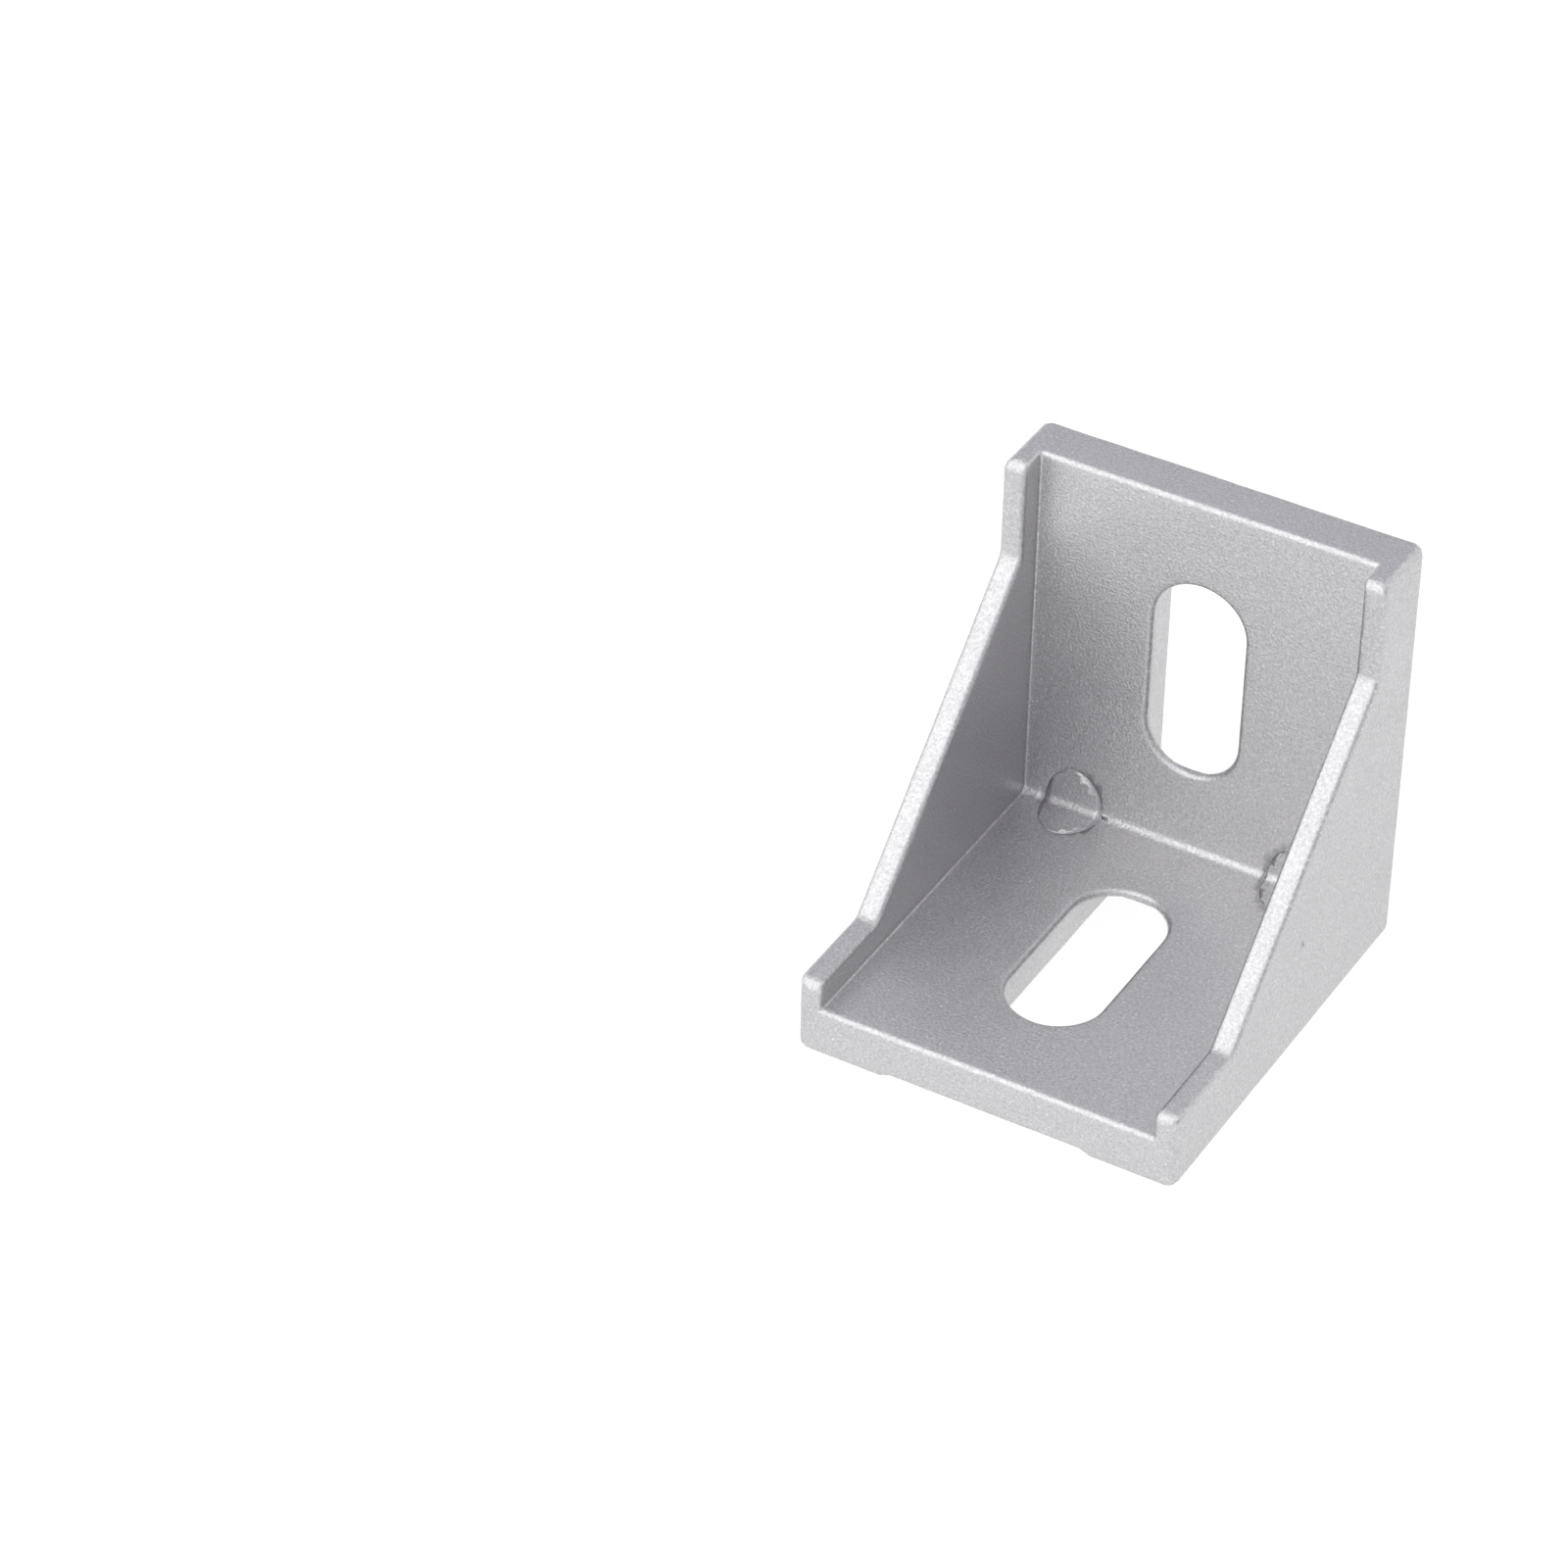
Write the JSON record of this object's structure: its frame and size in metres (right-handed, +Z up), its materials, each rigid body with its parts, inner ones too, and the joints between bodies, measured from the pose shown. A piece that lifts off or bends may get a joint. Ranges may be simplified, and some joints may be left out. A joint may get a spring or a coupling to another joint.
{
  "type": "angle bracket",
  "caption": "Cast aluminium right-angle bracket with a stiffening rib along each side and a slotted screw hole in each leg, for joining square framing profiles.",
  "frame": {"origin": "centre of the base leg's footprint, on the plane of its outer face", "axes": "+X across the bracket's width, +Y from the base leg's free end towards the heel and out of the upright leg's outer face, +Z up along the upright leg"},
  "size_m": [0.0354, 0.04, 0.04],
  "materials": {
    "cast_aluminium": "matte, shot-blasted die casting"
  },
  "bodies": {
    "root": {"bracket": "cast_aluminium"}
  },
  "joints": []
}
